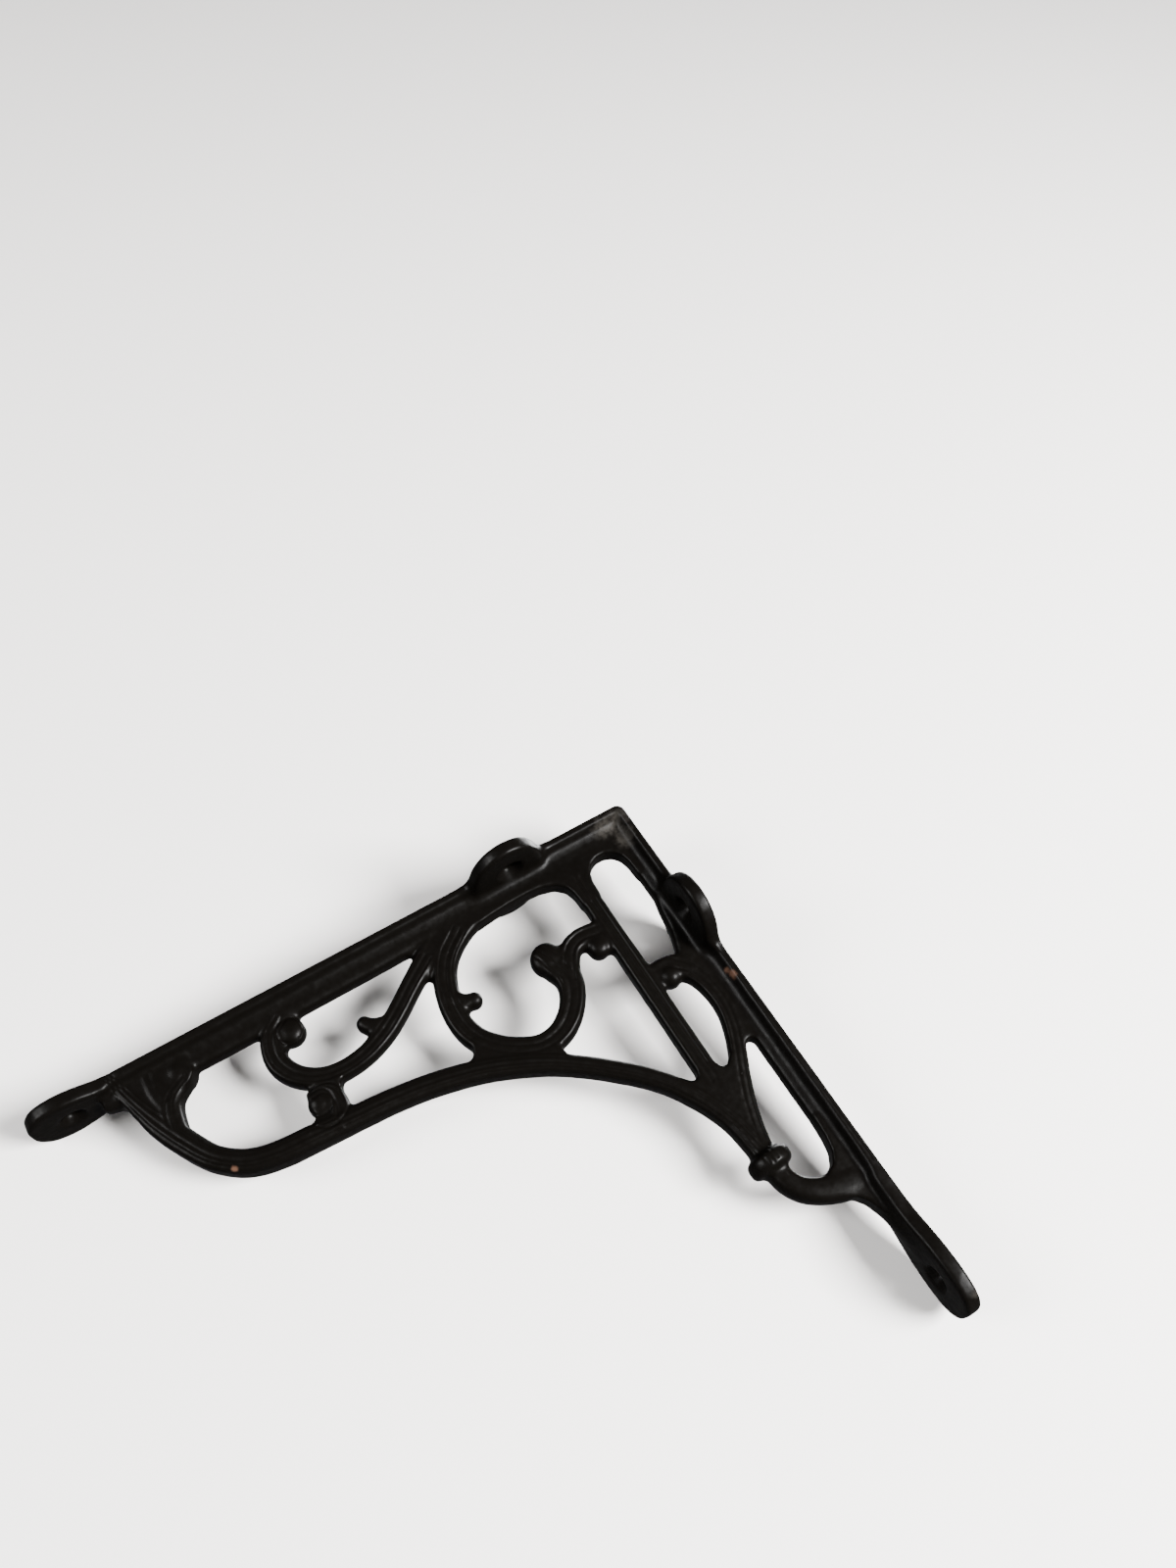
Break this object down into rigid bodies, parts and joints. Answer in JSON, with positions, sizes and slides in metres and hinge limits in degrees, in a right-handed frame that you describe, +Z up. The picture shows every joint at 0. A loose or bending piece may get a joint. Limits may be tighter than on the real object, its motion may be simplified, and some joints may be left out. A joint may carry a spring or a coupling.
{
  "type": "ornate cast iron shelf bracket",
  "caption": "Black painted cast iron shelf bracket with a straight shelf arm and wall arm, a curved brace, scrolls, a collar and countersunk screw ears.",
  "frame": {"origin": "middle of the wall arm's flat outer face, 90 mm below the shelf face, where the bracket bears on the wall", "axes": "+X away from the wall along the shelf arm, +Z up, +Y across the casting; the wall is the plane X = 0 and the shelf rests on the plane Z = 90 mm"},
  "size_m": [0.2013, 0.0428, 0.1805],
  "materials": {
    "cast_iron": "near-black satin paint over the as-cast surface, with a few rust-brown rubbed spots"
  },
  "bodies": {
    "root": {"bracket": "cast_iron"}
  },
  "joints": []
}
